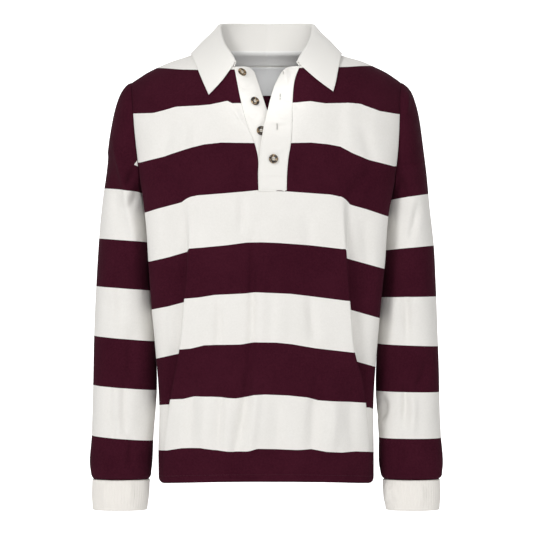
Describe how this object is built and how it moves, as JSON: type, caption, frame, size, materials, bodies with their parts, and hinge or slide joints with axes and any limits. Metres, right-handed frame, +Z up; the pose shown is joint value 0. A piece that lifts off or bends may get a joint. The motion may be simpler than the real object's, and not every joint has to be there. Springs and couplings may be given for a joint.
{
  "type": "long-sleeved striped polo shirt",
  "caption": "Hollow long-sleeved rugby-style polo shirt, broad dark red and cream stripes, cream fold-over collar, open button placket and rib cuffs",
  "frame": {"origin": "middle of the neck opening at the height of the shoulder seams' inner ends, where the wearer's neck and shoulders carry the shirt", "axes": "+Z up, the front faces -Y, the wearer's left arm is at +X"},
  "size_m": [0.5452, 0.2354, 0.7574],
  "materials": {
    "jersey": "matt cotton jersey, yarn-dyed dark red and cream stripes",
    "rib": "matt cream rib knit",
    "twill": "matt cream cotton twill",
    "tape": "matt white cotton tape",
    "label": "soft satin woven label, blank",
    "button": "polished horn-look, brown with a pale middle"
  },
  "bodies": {
    "root": {"front": "jersey", "back": "jersey", "sleeve_right": "jersey", "sleeve_left": "jersey", "cuff_right": "rib", "cuff_left": "rib", "collar": "twill", "placket_over": "twill", "placket_under": "twill", "neck_tape": "tape", "neck_label": "label", "button_1": "button", "button_2": "button", "button_3": "button", "button_4": "button"}
  },
  "joints": []
}
